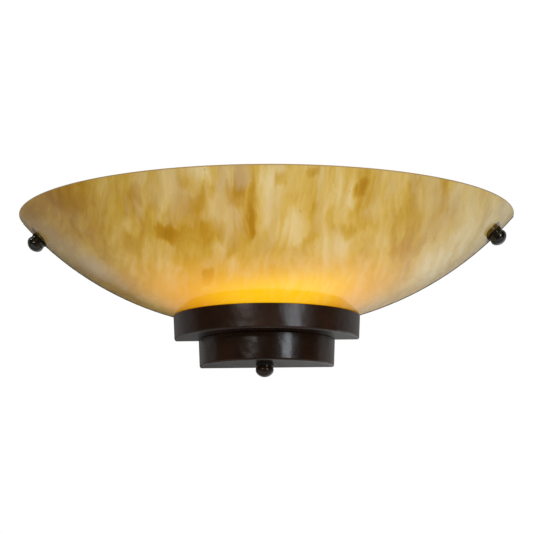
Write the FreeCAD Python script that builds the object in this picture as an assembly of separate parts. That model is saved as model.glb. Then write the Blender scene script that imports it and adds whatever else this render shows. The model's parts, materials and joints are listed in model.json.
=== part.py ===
import FreeCAD, Part
import math
import os

# Half-bowl wall light. Lengths are in millimetres and angles in degrees.
# +X is to the right as seen from the room, +Z is up and the wall is the plane Y = 0.
# The light stands out from the wall towards -Y.
# The origin is the centre of the wall box that the light covers.

vector = FreeCAD.Vector
origin = vector(0, 0, 0)
right = vector(1, 0, 0)
forward = vector(0, -1, 0)
back = vector(0, 1, 0)
up = vector(0, 0, 1)
down = vector(0, 0, -1)
left_and_right = (-1, 1)
full_turn = 360
half_turn = 180
nut_sides = 6

# Fitting gaps
seat_gap = 0.1  # a piece held against curved glass, or a shell in its bore
wall_gap = 0.3  # glass and tiers in front of the back plate
running_gap = 0.05  # a thread in its nut
pass_gap = 0.3  # a screw or wire through a plain hole
overrun = 5.0  # how far a cutting tool runs past what it cuts
touching = 1e-6  # points closer than this are one point

# Glass bowl, half of a round dish with a spherical skin, as deep as the pan and the gaps over and under it
rim_radius = 254.0
pan_below_rim = 13.0
pan_above_glass = 17.6
glass_thickness = 4.0
glass_edge_round = 1.3
bowl_hole_radius = 5.5
knob_hole_radius = 3.5

# Back plate, stamped from one sheet with a raised pan over the wall box
plate_sheet = 1.2
plate_margin = 0.4  # sheet that shows past the glass
plate_rim_drop = 1.0
tongue_inset = 1.0  # the tongue behind the tiers is this much smaller than they are
pan_width = 152.0
pan_height = 84.0
pan_depth = 16.0
pan_corner = 17.0
pan_shrink = 2.2  # lean of each side of the pan
pan_edge_round = 3.5

# Tiers, half-round pans with a little draft
tier_wall = 2.0
tier_floor = 2.0
tier_edge_round = 2.2
tier_inner_round = 1.2
tier_top_round = 0.6
tier_lip = 7.0
upper_radius = 95.3
upper_floor_gap = 3.1  # between the floor of the upper tier and the nut under the glass
upper_draft = 1.1
lower_radius = 69.5
lower_height = 28.0
lower_draft = 1.1

# Threaded rod through bowl and tiers
rod_radius = 3.175
rod_forward = 36.0
rod_above_nut = 4.0
rod_nut_flats = 11.1
rod_nut_thickness = 4.2
rod_washer_radius = 9.5
rod_washer_thickness = 1.2
bowl_gasket_radius = 11.0
bowl_gasket_thickness = 2.0

# Bracket that carries the rod
bracket_sheet = 2.5
bracket_width = 26.0
bracket_bend = 2.5
bracket_nut_gap = 6.4  # between the nuts on the bracket and those on the glass
bracket_cap_gap = 4.0  # between the bracket and the cap of the lamp holder
bracket_over = 12.0  # how far the level leg runs past the rod
bracket_corner = 5.0
rivet_radius = 1.6
rivet_head_radius = 3.2
rivet_head_height = 1.2
rivet_spread = 15.0
rivet_drop = 7.0  # rivets below the top of the bracket

# Ball nuts: the finial under the tiers and the two side knobs
ball_radius = 9.0
ball_rise = 7.2  # from the widest part of the ball to its tip
ball_side_round = 5.4  # the sides of the ball are rounder than its crown
ball_height = 12.0
ball_shoulder_radius = 8.4
ball_shoulder = 1.8
ball_groove_radius = 7.9
ball_groove = 0.5
ball_bore_depth = 8.4
ball_drill_point = 1.2
finial_grip = 7.6  # thread inside the finial
knob_grip = 8.0  # thread inside a side knob
soft_washer_radius = 8.9
soft_washer_thickness = 1.6

# Side clamps, square to the glass
knob_drop = 22.0  # below the rim
knob_forward = 22.0
stud_radius = 2.08
stud_past_nut = 1.6
small_nut_flats = 8.7
small_nut_thickness = 3.2
gasket_radius = 7.5
gasket_thickness = 1.6
arm_sheet = 2.0
arm_width = 19.0
arm_bend = 2.0
arm_base = 17.0
arm_past_stud = 11.0
arm_corner = 5.0

# Crossbar on the wall box, and what holds the back plate to it
bar_length = 120.0
bar_width = 19.0
bar_corner = 6.0
bar_thickness = 2.0
bar_slot_spacing = 79.4
bar_slot_length = 14.3
bar_slot_radius = 2.4
bar_hole_radius = 5.2
plate_stud_spacing = 108.0
stud_head_radius = 3.9
stud_head_height = 2.3
stud_head_round = 1.2
plate_stud_grip = 5.0
cap_nut_hex = 4.0
cap_nut_dome = 3.9
cap_nut_height = 8.2
cap_nut_round = 2.6
ground_place = -20.0
ground_radius = 2.4
ground_length = 6.0
ground_flange_radius = 4.9
ground_flange = 0.9
ground_flats = 7.9
ground_height = 2.6
nut_spare = 0.2  # how far the barrel that bevels a nut stands clear of its corners
nut_bevel_angle = 30

# Lamp holder on the pan
socket_height = 12.0
cap_radius = 19.0
cap_length = 12.0
cap_wall = 2.2
cap_rim = 3.0
cap_neck_radius = 8.0
cap_neck_length = 2.5
cap_floor = 5.5
cap_round = 1.5
body_radius = 17.6
body_length = 31.0
body_floor = 5.5
body_edge_round = 1.2
body_lead_depth = 2.5
shell_bore = 13.4
shell_wall = 0.5
shell_length = 22.0
shell_lip = 3.5
contact_sheet = 0.6
contact_width = 6.0
contact_bend = 0.5
contact_rise = 2.4
contact_foot = 8.0
contact_foot_end = 3.5
contact_tongue_start = 1.5
contact_tongue = 4.5
nipple_radius = 5.0
nipple_bore = 3.4
nipple_grip = 5.0  # in the neck of the cap
nipple_behind = 6.4  # inside the pan
nipple_nut_flats = 14.2
nipple_nut_thickness = 3.4

# Leads and their twist-on connectors, inside the pan
lead_radius = 1.1
lead_spread = 3.3
lead_bend = 4.0
lead_forward = 6.2
lead_run = 13.0
lead_angle = 25
lead_grip = 12.0  # inside the connector
connector_length = 20.0
connector_mouth = 4.6
connector_tip = 3.2
connector_wall = 1.4
connector_depth = 14.0
connector_throat = 1.3
connector_round = 0.6

# Bulb with a medium screw base
bulb_radius = 30.0
bulb_wall = 0.9
bulb_length = 82.0
bulb_neck_radius = 13.2
bulb_neck_length = 4.0
base_radius = 13.1
base_length = 24.0
base_cone_length = 4.5
base_cone_end = 6.5
tip_radius = 4.6
tip_height = 1.8
tip_round = 0.8

# Places worked out from the sizes above
rim_height = pan_height / 2 + pan_below_rim
bowl_depth = pan_below_rim + pan_height + pan_above_glass
bowl_sphere = (rim_radius ** 2 + bowl_depth ** 2) / (2 * bowl_depth)
inner_sphere = bowl_sphere - glass_thickness
sphere_height = rim_height - bowl_depth + bowl_sphere
sphere_centre = vector(0, 0, sphere_height)
skin_start = plate_sheet + wall_gap
pan_inside = pan_depth - plate_sheet


def skin_low(sphere, out):
    """Height of a spherical skin at a distance from the upright line through its centre."""
    return sphere_height - math.sqrt(sphere ** 2 - out ** 2)


gasket_bottom = skin_low(bowl_sphere, rod_forward - bowl_gasket_radius) - bowl_gasket_thickness
tier_top = skin_low(bowl_sphere, upper_radius - tier_wall) - wall_gap
upper_floor = gasket_bottom - rod_washer_thickness - rod_nut_thickness - upper_floor_gap
upper_bottom = upper_floor - tier_floor
lower_bottom = upper_bottom - lower_height
gasket_top = skin_low(inner_sphere, rod_forward + bowl_gasket_radius) + bowl_gasket_thickness
glass_nut_top = gasket_top + rod_washer_thickness + rod_nut_thickness
leg_bottom = glass_nut_top + bracket_nut_gap + rod_nut_thickness
leg_top = leg_bottom + bracket_sheet
bracket_top = socket_height - cap_radius - bracket_cap_gap
body_start = pan_depth + cap_length
shell_start = body_start + body_floor
tip_start = shell_start + contact_rise + contact_sheet + seat_gap


def at(out, height, across=0):
    """A point by its distance from the wall, its height and its place left or right."""
    return vector(across, -out, height)


def segment(start, end):
    return Part.LineSegment(start, end).toShape()


def curve(start, middle, end):
    return Part.Arc(start, middle, end).toShape()


def stand(shape, base, direction):
    """Turn a shape made upright on the origin so that it stands on base along direction."""
    shape.Placement = FreeCAD.Placement(base, FreeCAD.Rotation(up, direction))
    return shape


def rod(radius, length, base, direction):
    return Part.makeCylinder(radius, length, base, direction)


def ring(outer, inner, length, base, direction):
    return rod(outer, length, base, direction).cut(rod(inner, length, base, direction))


def outline(points, radii):
    """Closed outline of straight sides, each corner rounded by its own radius."""
    corners = []
    for i, corner in enumerate(points):
        before = (points[i - 1] - corner).normalize()
        after = (points[(i + 1) % len(points)] - corner).normalize()
        half = before.getAngle(after) / 2
        reach = radii[i] / math.tan(half)
        inward = (before + after).normalize()
        middle = corner + inward * (radii[i] / math.sin(half) - radii[i])
        corners.append((corner + before * reach, middle, corner + after * reach))
    edges = []
    for i, (start, middle, end) in enumerate(corners):
        if radii[i]:
            edges.append(curve(start, middle, end))
        following = corners[(i + 1) % len(corners)][0]
        if end.distanceToPoint(following) > touching:
            edges.append(segment(end, following))
    return Part.Wire(edges)


def turned(points, radii, base, direction):
    """Round piece from half of its section, given as distances from its axis and heights."""
    section = outline([vector(out, 0, height) for out, height in points], radii)
    return stand(Part.Face(section).revolve(origin, up, full_turn), base, direction)


def rectangle(out, half_width, half_height, corner):
    """Upright rectangle with rounded corners round the axis of the wall box, facing the room."""
    points = [at(out, -half_height, -half_width), at(out, -half_height, half_width)]
    points += [at(out, half_height, half_width), at(out, half_height, -half_width)]
    return outline(points, [corner] * len(points))


def hex_nut(flats, thickness, bore, base, direction):
    """Hexagon nut with bevelled corners."""
    corner = flats / math.sqrt(3)
    turns = [math.radians(full_turn / nut_sides * i) for i in range(nut_sides + 1)]
    sides = Part.makePolygon([vector(corner * math.cos(turn), corner * math.sin(turn), 0) for turn in turns])
    prism = Part.Face(sides).extrude(up * thickness)
    wide = corner + nut_spare
    bevel = (wide - flats / 2) * math.tan(math.radians(nut_bevel_angle))
    barrel = [(bore, 0), (flats / 2, 0), (wide, bevel), (wide, thickness - bevel)]
    barrel += [(flats / 2, thickness), (bore, thickness)]
    nut = prism.common(turned(barrel, [0] * len(barrel), origin, up))
    return stand(nut, base, direction)


def bent_strip(path, sheet, bend, width, start, along, across, corner):
    """Strip bent from sheet. The path runs through the middle of the sheet, in steps along and across."""
    side = along.cross(across)
    points = [start + along * a + across * b - side * (width / 2) for a, b in path]
    runs = [(after - before).normalize() for before, after in zip(points, points[1:])]
    lefts = [side.cross(run) for run in runs]
    middle_radius = bend + sheet / 2
    stations = [[(points[0], lefts[0])]]
    for i, point in enumerate(points[1:-1]):
        before, after = runs[i], runs[i + 1]
        half = before.getAngle(after) / 2
        reach = middle_radius * math.tan(half)
        inward = (after - before).normalize()
        middle = point + inward * (middle_radius / math.cos(half) - middle_radius)
        stations.append([
            (point - before * reach, lefts[i]),
            (middle, (lefts[i] + lefts[i + 1]).normalize()),
            (point + after * reach, lefts[i + 1]),
        ])
    stations.append([(points[-1], lefts[-1])])
    edges, ends = [], []
    for offset in (-sheet / 2, sheet / 2):
        face = [[point + left * offset for point, left in station] for station in stations]
        for before, after in zip(face, face[1:]):
            edges.append(segment(before[-1], after[0]))
            if len(after) > 1:
                edges.append(curve(*after))
        ends.append((face[0][0], face[-1][0]))
    edges += [segment(first, second) for first, second in zip(*ends)]
    strip = Part.Face(Part.Wire(Part.__sortEdges__(edges))).extrude(side * width)
    tips = [edge for edge in strip.Edges if abs(edge.Length - sheet) < touching]
    return strip.makeFillet(corner, tips) if corner else strip


def wall_block():
    """Everything on the wall side of the plane where glass and tiers stop."""
    reach = rim_radius + overrun
    return Part.makeBox(2 * reach, reach, 2 * reach, vector(-reach, -skin_start, -reach))


def half_round(section):
    """Sweep a section in the plane X, Z through the half turn in front of the wall."""
    return Part.Face(section).revolve(origin, down, half_turn).cut(wall_block())


def side_axes(side):
    """Outward directions at a side knob: level with the wall, and square to the glass."""
    lean = math.asin(knob_forward / bowl_sphere)
    drop = (rim_height - knob_drop - sphere_height) / (bowl_sphere * math.cos(lean))
    level = vector(side * math.sqrt(1 - drop ** 2), 0, drop)
    square = level * math.cos(lean) + forward * math.sin(lean)
    return level, square, lean


def from_sphere(square, radius):
    """The point of a side clamp's axis at a distance from the centre of the glass sphere."""
    return sphere_centre + square * radius


def glass_ball(radius):
    """Ball round the centre of the glass, with its poles level, clear of the bowl."""
    return stand(Part.makeSphere(radius), sphere_centre, forward)


def glass_bowl():
    """Two concentric skins, a ground rim with softened edges, and holes for rod and studs."""
    reach = rim_radius + overrun
    height = bowl_depth + overrun
    room = Part.makeBox(2 * reach, reach - skin_start, height, vector(-reach, -reach, rim_height - height))
    bowl = glass_ball(bowl_sphere).cut(glass_ball(inner_sphere)).common(room)
    slope = math.acos((sphere_height - rim_height) / bowl_sphere)
    for sphere, half in ((bowl_sphere, slope / 2), (inner_sphere, (math.pi - slope) / 2)):
        rim_out = math.sqrt(sphere ** 2 - (sphere_height - rim_height) ** 2)
        rims = []
        for edge in bowl.Edges:
            if edge.Curve.TypeId == "Part::GeomCircle" and abs(edge.Curve.Radius - rim_out) < touching:
                rims.append(edge)
        bowl = bowl.makeFillet(glass_edge_round * math.tan(half), rims)
    holes = [rod(bowl_hole_radius, rim_height - lower_bottom, at(rod_forward, lower_bottom), up)]
    for side in left_and_right:
        square = side_axes(side)[1]
        start = from_sphere(square, inner_sphere - overrun)
        holes.append(rod(knob_hole_radius, glass_thickness + 2 * overrun, start, square))
    return bowl.cut(holes)


def tier(radius, draft, bottom, top):
    """Half-round pan, open upwards and to the wall, with a lip along each back edge."""
    foot = radius - draft
    section = [(0, bottom), (foot, bottom), (radius, top), (radius - tier_wall, top)]
    section += [(foot - tier_wall, bottom + tier_floor), (0, bottom + tier_floor)]
    radii = [0, tier_edge_round, tier_top_round, tier_top_round, tier_inner_round, 0]
    pan = half_round(outline([vector(out, 0, level) for out, level in section], radii))
    lip_top = top - tier_edge_round
    lip_start = bottom + tier_floor / 2
    lip = tier_lip + tier_wall / 2
    for side in left_and_right:
        inner = foot - tier_wall - tier_lip
        low = vector(inner if side > 0 else -inner - lip, -skin_start - tier_wall, lip_start)
        pan = pan.fuse(Part.makeBox(lip, tier_wall, lip_top - lip_start, low))
    clear = Part.makeSphere(bowl_sphere + wall_gap, sphere_centre)
    rod_hole = rod(rod_radius + pass_gap, tier_floor, at(rod_forward, bottom), up)
    return pan.cut([clear, rod_hole]).removeSplitter()


def pan_block(inset):
    """Block with rounded corners and leaning sides that fills the pan, smaller by inset all round."""
    depth = pan_depth - inset
    rings = []
    for out, shrink in ((0, inset), (depth, inset + pan_shrink)):
        half_width, half_height = pan_width / 2 - shrink, pan_height / 2 - shrink
        rings.append(rectangle(out, half_width, half_height, pan_corner - shrink))
    block = Part.makeLoft(rings, True, True)
    front = [edge for edge in block.Edges if all(abs(end.Y + depth) < touching for end in edge.Vertexes)]
    return block.makeFillet(pan_edge_round - inset, front)


def back_plate():
    """Flat sheet in the outline of the light, with a raised pan and a stepped tongue behind the tiers."""
    edge_sphere = bowl_sphere + plate_margin
    top = rim_height - plate_rim_drop
    half_top = math.sqrt(edge_sphere ** 2 - (sphere_height - top) ** 2)
    upper_half = upper_radius - upper_draft - tongue_inset
    lower_half = lower_radius - lower_draft - tongue_inset
    upper_end = upper_bottom + tongue_inset
    lower_end = lower_bottom + tongue_inset
    middle = (half_top + upper_half) / 2
    edges = [segment(at(0, lower_end, -lower_half), at(0, lower_end, lower_half))]
    edges.append(segment(at(0, top, -half_top), at(0, top, half_top)))
    for side in left_and_right:
        steps = [(lower_half, lower_end), (lower_half, upper_end), (upper_half, upper_end)]
        steps.append((upper_half, skin_low(edge_sphere, upper_half)))
        steps = [at(0, level, side * out) for out, level in steps]
        edges += [segment(first, second) for first, second in zip(steps, steps[1:])]
        bulge = at(0, skin_low(edge_sphere, middle), side * middle)
        edges.append(curve(steps[-1], bulge, at(0, top, side * half_top)))
    sheet = Part.Face(Part.Wire(Part.__sortEdges__(edges))).extrude(forward * plate_sheet)
    holes = [rod(nipple_radius + pass_gap, pan_depth + overrun, at(0, socket_height), forward)]
    for side in left_and_right:
        stud = at(0, 0, side * plate_stud_spacing / 2)
        holes.append(rod(stud_radius + pass_gap, pan_depth + overrun, stud, forward))
        rivet = at(0, bracket_top - rivet_drop, side * rivet_spread / 2)
        holes.append(rod(rivet_radius + running_gap, pan_depth + overrun, rivet, forward))
    return sheet.fuse(pan_block(0)).cut(pan_block(plate_sheet)).cut(holes)


def crossbar():
    """Flat strap with two slots for the wall box and threaded holes for the plate and the ground."""
    bar = Part.Face(rectangle(0, bar_length / 2, bar_width / 2, bar_corner)).extrude(forward * bar_thickness)
    holes = [rod(bar_hole_radius, bar_thickness, origin, forward)]
    holes.append(rod(ground_radius + running_gap, bar_thickness, at(0, 0, ground_place), forward))
    for side in left_and_right:
        slot = rectangle(0, bar_slot_length / 2, bar_slot_radius, bar_slot_radius)
        slot.translate(right * (side * bar_slot_spacing / 2))
        holes.append(Part.Face(slot).extrude(forward * bar_thickness))
        stud = at(0, 0, side * plate_stud_spacing / 2)
        holes.append(rod(stud_radius + running_gap, bar_thickness, stud, forward))
    return bar.cut(holes)


def plate_studs():
    """Two screws put through the crossbar from behind, long enough to pass the pan."""
    length = stud_head_height + pan_depth + plate_stud_grip
    section = [(0, 0), (stud_head_radius, 0), (stud_head_radius, stud_head_height)]
    section += [(stud_radius, stud_head_height), (stud_radius, length), (0, length)]
    radii = [0, stud_head_round, 0, 0, 0, 0]
    places = [at(-stud_head_height, 0, side * plate_stud_spacing / 2) for side in left_and_right]
    return Part.makeCompound([turned(section, radii, place, forward) for place in places])


def cap_nuts():
    """Two domed nuts on the front of the pan."""
    nuts = []
    for side in left_and_right:
        seat = at(pan_depth, 0, side * plate_stud_spacing / 2)
        dome = [(0, 0), (cap_nut_dome, 0), (cap_nut_dome, cap_nut_height), (0, cap_nut_height)]
        dome = turned(dome, [0, 0, cap_nut_round, 0], seat, forward)
        bore = rod(stud_radius + running_gap, plate_stud_grip + pass_gap, seat, forward)
        hexagon = hex_nut(small_nut_flats, cap_nut_hex, stud_radius, seat, forward)
        nuts.append(hexagon.fuse(dome).cut(bore))
    return Part.makeCompound(nuts)


def ground_screw():
    """Hexagon screw with a flange, in the crossbar."""
    seat = at(bar_thickness, 0, ground_place)
    flange = rod(ground_flange_radius, ground_flange, seat, forward)
    head = hex_nut(ground_flats, ground_height, 0, seat + forward * ground_flange, forward)
    return head.fuse([flange, rod(ground_radius, ground_length, seat, back)])


def rod_bracket():
    """Strip bent square, with a hole for the rod and two for its rivets."""
    upright = pan_depth + bracket_sheet / 2
    level = leg_bottom + bracket_sheet / 2
    path = [(upright, bracket_top), (upright, level), (rod_forward + bracket_over, level)]
    strip = bent_strip(path, bracket_sheet, bracket_bend, bracket_width, origin, forward, up, bracket_corner)
    holes = [rod(rod_radius + pass_gap, bracket_sheet, at(rod_forward, leg_bottom), up)]
    for side in left_and_right:
        rivet = at(pan_inside, bracket_top - rivet_drop, side * rivet_spread / 2)
        holes.append(rod(rivet_radius + running_gap, pan_depth, rivet, forward))
    return strip.cut(holes)


def pop_rivets():
    """Two rivets through the pan and the bracket, with a head on each side."""
    grip = plate_sheet + bracket_sheet
    top = grip + rivet_head_height
    section = [(0, -rivet_head_height), (rivet_head_radius, -rivet_head_height), (rivet_head_radius, 0)]
    section += [(rivet_radius, 0), (rivet_radius, grip), (rivet_head_radius, grip)]
    section += [(rivet_head_radius, top), (0, top)]
    soft = rivet_head_height / 2
    radii = [0, soft, 0, 0, 0, 0, soft, 0]
    places = [at(pan_inside, bracket_top - rivet_drop, side * rivet_spread / 2) for side in left_and_right]
    return Part.makeCompound([turned(section, radii, place, forward) for place in places])


def rod_stack():
    """The rod with its nuts, washers and gaskets, from the bracket down to the finial."""
    rod_top = leg_top + rod_nut_thickness + rod_above_nut
    rod_end = lower_bottom - soft_washer_thickness - finial_grip
    bore = rod_radius + pass_gap

    def on_rod(height):
        return at(rod_forward, height)

    plug = ring(bowl_gasket_radius, bore, gasket_top - gasket_bottom, on_rod(gasket_bottom), up)
    upper_gasket = plug.common(Part.makeSphere(inner_sphere - seat_gap, sphere_centre))
    lower_gasket = plug.cut(Part.makeSphere(bowl_sphere + seat_gap, sphere_centre))
    washers = [ring(rod_washer_radius, bore, rod_washer_thickness, on_rod(gasket_top), up)]
    washers.append(ring(rod_washer_radius, bore, rod_washer_thickness, on_rod(gasket_bottom), down))
    seats = [(leg_top, up), (leg_bottom, down)]
    seats += [(gasket_top + rod_washer_thickness, up), (gasket_bottom - rod_washer_thickness, down)]
    thread = rod_radius + running_gap
    nuts = [hex_nut(rod_nut_flats, rod_nut_thickness, thread, on_rod(seat), way) for seat, way in seats]
    return {
        "threaded_rod": rod(rod_radius, rod_top - rod_end, on_rod(rod_end), up),
        "rod_nuts": Part.makeCompound(nuts),
        "rod_washers": Part.makeCompound(washers),
        "bowl_upper_gasket": upper_gasket,
        "bowl_lower_gasket": lower_gasket,
    }


def ball_nut(thread, base, direction):
    """Flattened ball on a round shoulder, with a groove between the two and a blind thread."""
    centre = up * (ball_height - ball_rise)
    tip = up * ball_height
    ball_start = ball_shoulder + ball_groove
    side_centre = centre + right * (ball_radius - ball_side_round)
    foot = side_centre + right * math.sqrt(ball_side_round ** 2 - (ball_start - centre.z) ** 2)
    foot.z = ball_start
    # The crown is the arc that touches the sides and ends level at the tip
    crown = ball_radius ** 2 + ball_rise ** 2 - 2 * ball_radius * ball_side_round
    crown = crown / (2 * (ball_rise - ball_side_round))
    crown_centre = tip - up * crown
    lean = (side_centre - crown_centre).normalize()
    join = side_centre + lean * ball_side_round
    middle = crown_centre + (lean + up).normalize() * crown
    bore = thread + running_gap
    points = [(0, ball_bore_depth + ball_drill_point), (bore, ball_bore_depth), (bore, 0)]
    points += [(ball_shoulder_radius, 0), (ball_shoulder_radius, ball_shoulder)]
    points += [(ball_groove_radius, ball_shoulder), (ball_groove_radius, ball_start)]
    points = [tip] + [vector(out, 0, level) for out, level in points] + [foot]
    edges = [segment(first, second) for first, second in zip(points, points[1:])]
    edges += [curve(foot, centre + right * ball_radius, join), curve(join, middle, tip)]
    return stand(Part.Face(Part.Wire(edges)).revolve(origin, up, full_turn), base, direction)


def soft_washer(thread, base, direction):
    return ring(soft_washer_radius, thread + pass_gap, soft_washer_thickness, base, direction)


def side_clamp(side):
    """Arm, stud, nut, gasket, washer and knob of one side, all on an axis square to the glass."""
    level, square, lean = side_axes(side)
    washer_seat = bowl_sphere + seat_gap
    knob_seat = washer_seat + soft_washer_thickness
    gasket_face = math.sqrt(inner_sphere ** 2 - gasket_radius ** 2) - seat_gap
    arm_face = gasket_face - gasket_thickness
    nut_face = arm_face - arm_sheet
    stud_start = nut_face - small_nut_thickness - stud_past_nut
    sheet_middle = arm_face - arm_sheet / 2
    base_middle = plate_sheet + arm_sheet / 2

    def on_arm(past_stud):
        out = sheet_middle * math.cos(lean) - past_stud * math.sin(lean)
        return out, sheet_middle * math.sin(lean) + past_stud * math.cos(lean)

    bend = on_arm((base_middle - sheet_middle * math.sin(lean)) / math.cos(lean))
    path = [(bend[0] - arm_base, base_middle), bend, on_arm(arm_past_stud)]
    arm = bent_strip(path, arm_sheet, arm_bend, arm_width, sphere_centre, level, forward, arm_corner)
    thread = stud_radius + running_gap
    arm_back = from_sphere(square, nut_face)
    hole = rod(thread, 2 * arm_sheet, from_sphere(square, nut_face - arm_sheet / 2), square)
    stud_length = knob_seat + knob_grip - stud_start
    gasket_base = from_sphere(square, arm_face)
    return {
        "arm": arm.cut(hole),
        "stud": rod(stud_radius, stud_length, from_sphere(square, stud_start), square),
        "stud_nut": hex_nut(small_nut_flats, small_nut_thickness, thread, arm_back, square * -1),
        "inner_gasket": ring(gasket_radius, stud_radius + pass_gap, gasket_thickness, gasket_base, square),
        "knob_washer": soft_washer(stud_radius, from_sphere(square, washer_seat), square),
        "knob": ball_nut(stud_radius, from_sphere(square, knob_seat), square),
    }


def lamp_holder():
    """Cap, body, screw shell and centre contact, with the hollow tube and nut that hold them on the pan."""
    bore = nipple_radius + running_gap
    cap = [(bore, 0), (cap_neck_radius, 0), (cap_neck_radius, cap_neck_length)]
    cap += [(cap_radius, cap_length - cap_rim), (cap_radius, cap_length), (cap_radius - cap_wall, cap_length)]
    cap += [(cap_radius - cap_wall, cap_length - cap_rim), (cap_neck_radius, cap_floor), (bore, cap_floor)]
    cap_radii = [0, 0, cap_round, cap_round, 0, 0, cap_round, 0, 0]
    body_bore = shell_bore + shell_wall + seat_gap
    body = [(0, 0), (body_radius, 0), (body_radius, body_length), (body_bore, body_length)]
    body += [(body_bore, body_floor), (0, body_floor)]
    body_radii = [0, 0, body_edge_round, body_edge_round, 0, 0]
    body = turned(body, body_radii, at(body_start, socket_height), forward)
    for side in left_and_right:
        lead = at(body_start, socket_height, side * lead_spread / 2)
        body = body.cut(rod(lead_radius + pass_gap, body_lead_depth, lead, forward))
    outer = shell_bore + shell_wall
    shell = [(shell_bore - shell_lip, 0), (outer, 0), (outer, shell_length), (shell_bore, shell_length)]
    shell += [(shell_bore, shell_wall), (shell_bore - shell_lip, shell_wall)]
    low, high = contact_sheet / 2, contact_sheet / 2 + contact_rise
    path = [(-contact_foot, low), (-contact_foot_end, low)]
    path += [(-contact_tongue_start, high), (contact_tongue, high)]
    floor = at(shell_start, socket_height)
    contact = bent_strip(path, contact_sheet, contact_bend, contact_width, floor, right, forward, 0)
    nipple_start = at(pan_inside - nipple_behind, socket_height)
    nipple_length = nipple_behind + plate_sheet + nipple_grip
    nut_seat = at(pan_inside, socket_height)
    return {
        "socket_cap": turned(cap, cap_radii, at(pan_depth, socket_height), forward),
        "socket_body": body,
        "screw_shell": turned(shell, [0] * len(shell), floor, forward),
        "centre_contact": contact,
        "socket_nipple": ring(nipple_radius, nipple_bore, nipple_length, nipple_start, forward),
        "nipple_nut": hex_nut(nipple_nut_flats, nipple_nut_thickness, bore, nut_seat, back),
    }


def wiring():
    """A lead for each pole, from the lamp holder through the hollow tube to its connector in the pan."""
    nodes = {}
    connectors = []
    for side, name in zip(left_and_right, ("neutral_lead", "hot_lead")):
        across = side * lead_spread / 2
        angle = math.radians(lead_angle)
        way = vector(side * math.cos(angle), 0, math.sin(angle))
        corner = at(lead_forward, socket_height, across)
        start = at(body_start + body_lead_depth, socket_height, across)
        arc_start = corner + forward * lead_bend
        arc_end = corner + way * lead_bend
        middle = arc_start + way * lead_bend - (forward + way).normalize() * lead_bend
        end = corner + way * (lead_run + lead_grip)
        route = [segment(start, arc_start), curve(arc_start, middle, arc_end), segment(arc_end, end)]
        section = Part.Wire(Part.makeCircle(lead_radius, start, forward))
        nodes[name] = Part.Wire(route).makePipeShell([section], True, False)
        throat = connector_mouth - connector_wall
        shape = [(throat, 0), (connector_mouth, 0), (connector_tip, connector_length), (0, connector_length)]
        shape += [(0, connector_depth), (connector_throat, connector_depth)]
        radii = [0, connector_round, connector_round, 0, 0, 0]
        connectors.append(turned(shape, radii, corner + way * lead_run, way))
    nodes["wire_connectors"] = Part.makeCompound(connectors)
    return nodes


def bulb():
    """Glass envelope, screw base and tip contact of the lamp."""
    tip = [(0, 0), (tip_radius, 0), (tip_radius, tip_height), (0, tip_height)]
    base = [(0, 0), (base_cone_end, 0), (base_radius, base_cone_length), (base_radius, base_length)]
    base += [(0, base_length)]
    glass_start = tip_start + tip_height + base_length
    globe = bulb_length - bulb_radius
    rise = globe - bulb_neck_length
    # The flare between neck and globe is an arc that touches both
    narrow = bulb_radius - bulb_neck_radius
    flare = (rise ** 2 - narrow * (bulb_radius + bulb_neck_radius)) / (2 * narrow)
    reach = vector(bulb_neck_radius + flare, 0, bulb_neck_length)
    globe_centre = vector(0, 0, globe)
    to_flare = (reach - globe_centre).normalize()
    skins = []
    for inset in (0, bulb_wall):
        radius = bulb_radius - inset
        touch = globe_centre + to_flare * radius
        neck = vector(bulb_neck_radius - inset, 0, bulb_neck_length)
        lean = (neck - reach).normalize() + (touch - reach).normalize()
        bend = reach + lean.normalize() * (flare + inset)
        turn = (up + to_flare).normalize()
        top = globe_centre + up * radius
        foot = vector(neck.x, 0, 0)
        edges = [segment(foot, neck), curve(neck, bend, touch)]
        edges.append(curve(touch, globe_centre + turn * radius, top))
        skins.append((edges, foot, top))
    edges = skins[0][0] + skins[1][0]
    edges += [segment(skins[0][1], skins[1][1]), segment(skins[0][2], skins[1][2])]
    glass = Part.Face(Part.Wire(Part.__sortEdges__(edges))).revolve(origin, up, full_turn)
    return {
        "bulb_tip_contact": turned(tip, [0, tip_round, 0, 0], at(tip_start, socket_height), forward),
        "bulb_base": turned(base, [0] * len(base), at(tip_start + tip_height, socket_height), forward),
        "bulb_glass": stand(glass, at(glass_start, socket_height), forward),
    }


def build():
    """Every piece of the light under its node's name."""
    nodes = {
        "back_plate": back_plate(),
        "crossbar": crossbar(),
        "plate_studs": plate_studs(),
        "cap_nuts": cap_nuts(),
        "ground_screw": ground_screw(),
        "rod_bracket": rod_bracket(),
        "pop_rivets": pop_rivets(),
        "glass_bowl": glass_bowl(),
        "upper_tier": tier(upper_radius, upper_draft, upper_bottom, tier_top),
        "lower_tier": tier(lower_radius, lower_draft, lower_bottom, upper_bottom),
        "finial_washer": soft_washer(rod_radius, at(rod_forward, lower_bottom), down),
        "finial": ball_nut(rod_radius, at(rod_forward, lower_bottom - soft_washer_thickness), down),
    }
    nodes.update(rod_stack())
    nodes.update(lamp_holder())
    nodes.update(wiring())
    nodes.update(bulb())
    stud_nuts = []
    for side, name in zip(left_and_right, ("left", "right")):
        clamp = side_clamp(side)
        stud_nuts.append(clamp.pop("stud_nut"))
        nodes.update({name + "_" + piece: shape for piece, shape in clamp.items()})
    nodes["stud_nuts"] = Part.makeCompound(stud_nuts)
    return nodes


os.makedirs("parts", exist_ok=True)
for node, shape in build().items():
    print(node, shape.ShapeType, len(shape.Solids), shape.isValid(), round(shape.Volume, 1))
    shape.exportStep("parts/" + node + ".step")
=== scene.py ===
import json
import math

import bmesh
import bpy
from mathutils import Matrix, Vector


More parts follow.
